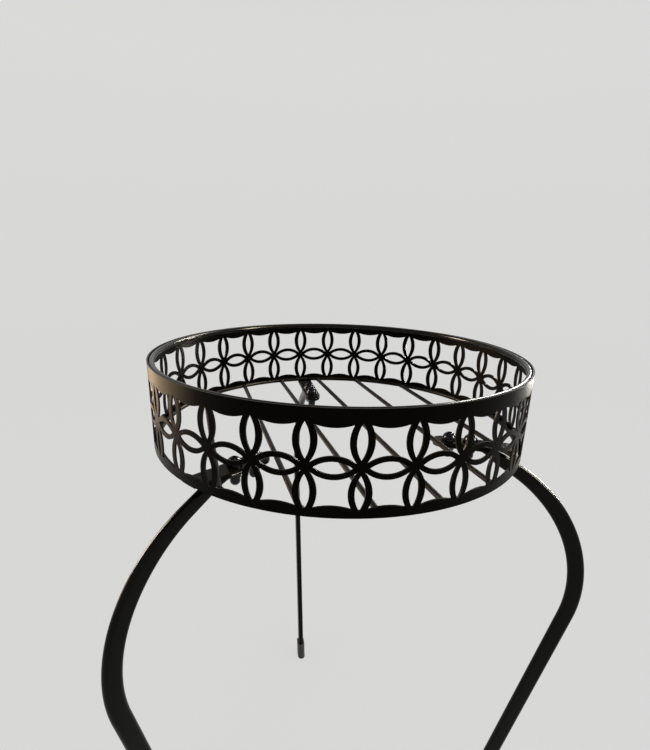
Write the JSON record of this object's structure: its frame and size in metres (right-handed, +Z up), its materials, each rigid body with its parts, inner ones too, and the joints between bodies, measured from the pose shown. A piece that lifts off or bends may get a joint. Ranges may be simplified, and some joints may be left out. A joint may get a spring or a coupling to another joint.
{
  "type": "plant stand",
  "caption": "Black metal plant stand: a round tray with a pierced flower-lattice band and a wire floor, on bowed tube legs bolted under it.",
  "frame": {"origin": "on the floor, under the middle of the object's overall box; the tray's axis stands 30.8 mm towards -X and 21.8 mm towards -Y of it", "axes": "+Z up, along the tray's axis; +Y towards the back leg's side; +X towards the right leg's side"},
  "size_m": [0.3666, 0.3826, 0.487],
  "materials": {
    "band_paint": "satin black paint",
    "wire_paint": "satin black paint",
    "plate_paint": "satin black paint",
    "leg_paint": "gloss black paint",
    "fastener": "black finish, slightly glossy",
    "foot_plastic": "matt moulded black plastic"
  },
  "bodies": {
    "root": {"pierced_band": "band_paint", "rim_ring": "wire_paint", "base_ring": "wire_paint", "floor_wire_1": "wire_paint", "floor_wire_2": "wire_paint", "floor_wire_3": "wire_paint", "floor_wire_4": "wire_paint", "floor_wire_5": "wire_paint", "floor_wire_6": "wire_paint", "mount_plate_back": "plate_paint", "leg_back": "leg_paint", "foot_back": "foot_plastic", "bolt_back_inner": "fastener", "cap_nut_back_inner": "fastener", "bolt_back_outer": "fastener", "cap_nut_back_outer": "fastener", "mount_plate_left": "plate_paint", "leg_left": "leg_paint", "foot_left": "foot_plastic", "bolt_left_inner": "fastener", "cap_nut_left_inner": "fastener", "bolt_left_outer": "fastener", "cap_nut_left_outer": "fastener", "mount_plate_right": "plate_paint", "leg_right": "leg_paint", "foot_right": "foot_plastic", "bolt_right_inner": "fastener", "cap_nut_right_inner": "fastener", "bolt_right_outer": "fastener", "cap_nut_right_outer": "fastener"}
  },
  "joints": []
}
